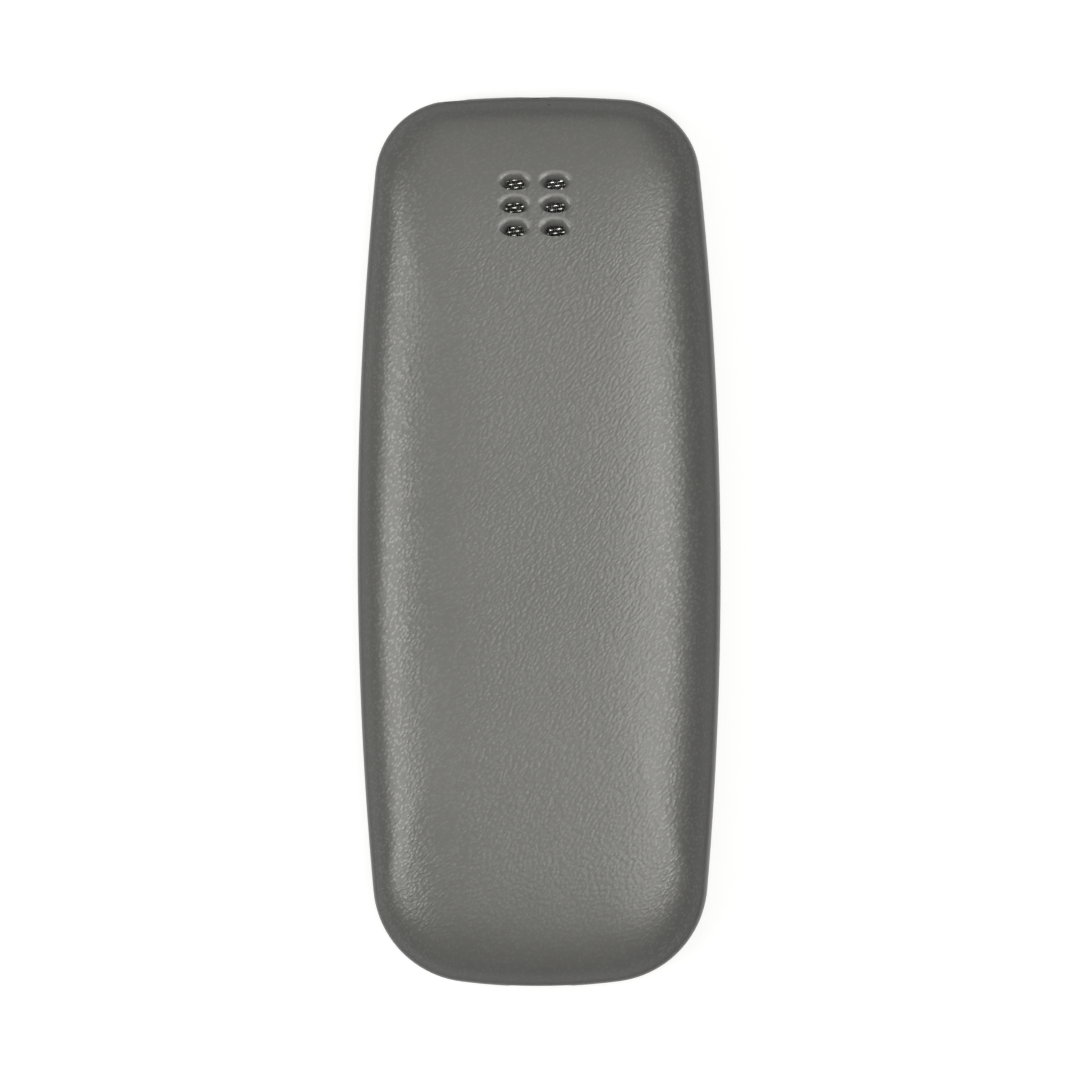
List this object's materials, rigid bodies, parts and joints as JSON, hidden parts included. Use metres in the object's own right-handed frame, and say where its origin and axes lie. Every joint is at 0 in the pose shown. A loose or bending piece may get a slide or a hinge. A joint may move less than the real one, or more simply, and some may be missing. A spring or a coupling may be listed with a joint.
{
  "type": "feature phone",
  "caption": "Bar feature phone with a lift-off pillowed back cover, removable battery, small display, rocking navigation ring and separate press keys on snap domes.",
  "frame": {"origin": "middle of the footprint on the plane of the front rim, with the phone lying face down", "axes": "+Z out of the back, +Y to the end with the torch and the headphone socket, +X to the right as seen from the back"},
  "size_m": [0.0486, 0.119, 0.0144],
  "materials": {
    "cover_plastic": "fine moulded grain",
    "shell_plastic": "satin",
    "key_plastic": "satin",
    "frame_plastic": "matte",
    "window_glass": "polished",
    "panel_glass": "polished",
    "lens_clear": "polished",
    "white_plastic": "gloss",
    "black_plastic": "matte",
    "soft_rubber": "matte",
    "board_laminate": "solder mask",
    "bright_steel": "bright",
    "gold_contact": "plated",
    "battery_wrap": "satin wrap"
  },
  "bodies": {
    "phone_body": {"front_shell": "shell_plastic", "frame": "frame_plastic", "display_window": "window_glass", "lcd_panel": "panel_glass", "torch_lens": "lens_clear", "backlight_tray": "white_plastic", "torch_led": "white_plastic", "battery_connector": "black_plastic", "headphone_jack": "black_plastic", "loudspeaker": "black_plastic", "earpiece": "black_plastic", "key_web": "soft_rubber", "microphone_boot": "soft_rubber", "lcd_foam": "soft_rubber", "speaker_seal": "soft_rubber", "main_board": "board_laminate", "dome_film": "board_laminate", "display_flex": "board_laminate", "snap_domes": "bright_steel", "rf_shield": "bright_steel", "processor_shield": "bright_steel", "card_holder_left": "bright_steel", "card_holder_right": "bright_steel", "usb_port": "bright_steel", "earpiece_mesh": "bright_steel", "microphone": "bright_steel", "vibration_motor": "bright_steel", "frame_screws": "bright_steel", "battery_springs": "gold_contact", "antenna": "gold_contact"},
    "cover": {"back_cover": "cover_plastic", "speaker_mesh": "bright_steel"},
    "battery": {"battery_cell": "battery_wrap", "battery_cap": "black_plastic", "battery_terminals": "gold_contact"},
    "vibration_weight": {"vibration_weight": "bright_steel"},
    "nav_carrier": {"nav_carrier": "key_plastic"},
    "nav_ring": {"nav_ring": "key_plastic"},
    "select_key": {"select_key": "key_plastic"},
    "soft_key_left": {"soft_key_left": "key_plastic"},
    "soft_key_right": {"soft_key_right": "key_plastic"},
    "call_key": {"call_key": "key_plastic"},
    "end_key": {"end_key": "key_plastic"},
    "key_1": {"key_1": "key_plastic"},
    "key_2": {"key_2": "key_plastic"},
    "key_3": {"key_3": "key_plastic"},
    "key_4": {"key_4": "key_plastic"},
    "key_5": {"key_5": "key_plastic"},
    "key_6": {"key_6": "key_plastic"},
    "key_7": {"key_7": "key_plastic"},
    "key_8": {"key_8": "key_plastic"},
    "key_9": {"key_9": "key_plastic"},
    "key_star": {"key_star": "key_plastic"},
    "key_0": {"key_0": "key_plastic"},
    "key_hash": {"key_hash": "key_plastic"}
  },
  "joints": [
    {"name": "cover_lift", "type": "slide", "parent": "phone_body", "child": "cover", "axis": [0, 0, 1], "range_m": [0, 0.036]},
    {"name": "battery_lift", "type": "slide", "parent": "phone_body", "child": "battery", "axis": [0, 0, 1], "range_m": [0, 0.0144]},
    {"name": "vibration_spin", "type": "hinge", "parent": "phone_body", "child": "vibration_weight", "pos_m": [-0.0148, -0.049, 0.0073], "axis": [1, 0, 0], "continuous": true},
    {"name": "nav_up_down", "type": "hinge", "parent": "phone_body", "child": "nav_carrier", "pos_m": [0, -0.0082, 0.00295], "axis": [1, 0, 0], "range_deg": [-1.6, 1.6], "stiffness_Nm_per_rad": 0.3},
    {"name": "nav_left_right", "type": "hinge", "parent": "nav_carrier", "child": "nav_ring", "pos_m": [0, -0.0082, 0.00245], "axis": [0, 1, 0], "range_deg": [-1.6, 1.6], "stiffness_Nm_per_rad": 0.3},
    {"name": "press_select_key", "type": "slide", "parent": "phone_body", "child": "select_key", "axis": [0, 0, 1], "range_m": [0, 0.0003], "stiffness_N_per_m": 1500},
    {"name": "press_soft_key_left", "type": "slide", "parent": "phone_body", "child": "soft_key_left", "axis": [0, 0, 1], "range_m": [0, 0.0003], "stiffness_N_per_m": 1500},
    {"name": "press_soft_key_right", "type": "slide", "parent": "phone_body", "child": "soft_key_right", "axis": [0, 0, 1], "range_m": [0, 0.0003], "stiffness_N_per_m": 1500},
    {"name": "press_call_key", "type": "slide", "parent": "phone_body", "child": "call_key", "axis": [0, 0, 1], "range_m": [0, 0.0003], "stiffness_N_per_m": 1500},
    {"name": "press_end_key", "type": "slide", "parent": "phone_body", "child": "end_key", "axis": [0, 0, 1], "range_m": [0, 0.0003], "stiffness_N_per_m": 1500},
    {"name": "press_key_1", "type": "slide", "parent": "phone_body", "child": "key_1", "axis": [0, 0, 1], "range_m": [0, 0.0003], "stiffness_N_per_m": 1500},
    {"name": "press_key_2", "type": "slide", "parent": "phone_body", "child": "key_2", "axis": [0, 0, 1], "range_m": [0, 0.0003], "stiffness_N_per_m": 1500},
    {"name": "press_key_3", "type": "slide", "parent": "phone_body", "child": "key_3", "axis": [0, 0, 1], "range_m": [0, 0.0003], "stiffness_N_per_m": 1500},
    {"name": "press_key_4", "type": "slide", "parent": "phone_body", "child": "key_4", "axis": [0, 0, 1], "range_m": [0, 0.0003], "stiffness_N_per_m": 1500},
    {"name": "press_key_5", "type": "slide", "parent": "phone_body", "child": "key_5", "axis": [0, 0, 1], "range_m": [0, 0.0003], "stiffness_N_per_m": 1500},
    {"name": "press_key_6", "type": "slide", "parent": "phone_body", "child": "key_6", "axis": [0, 0, 1], "range_m": [0, 0.0003], "stiffness_N_per_m": 1500},
    {"name": "press_key_7", "type": "slide", "parent": "phone_body", "child": "key_7", "axis": [0, 0, 1], "range_m": [0, 0.0003], "stiffness_N_per_m": 1500},
    {"name": "press_key_8", "type": "slide", "parent": "phone_body", "child": "key_8", "axis": [0, 0, 1], "range_m": [0, 0.0003], "stiffness_N_per_m": 1500},
    {"name": "press_key_9", "type": "slide", "parent": "phone_body", "child": "key_9", "axis": [0, 0, 1], "range_m": [0, 0.0003], "stiffness_N_per_m": 1500},
    {"name": "press_key_star", "type": "slide", "parent": "phone_body", "child": "key_star", "axis": [0, 0, 1], "range_m": [0, 0.0003], "stiffness_N_per_m": 1500},
    {"name": "press_key_0", "type": "slide", "parent": "phone_body", "child": "key_0", "axis": [0, 0, 1], "range_m": [0, 0.0003], "stiffness_N_per_m": 1500},
    {"name": "press_key_hash", "type": "slide", "parent": "phone_body", "child": "key_hash", "axis": [0, 0, 1], "range_m": [0, 0.0003], "stiffness_N_per_m": 1500}
  ],
  "couplings": [
    {"joint": "battery_lift", "follows": "cover_lift", "ratio": 0.4}
  ]
}
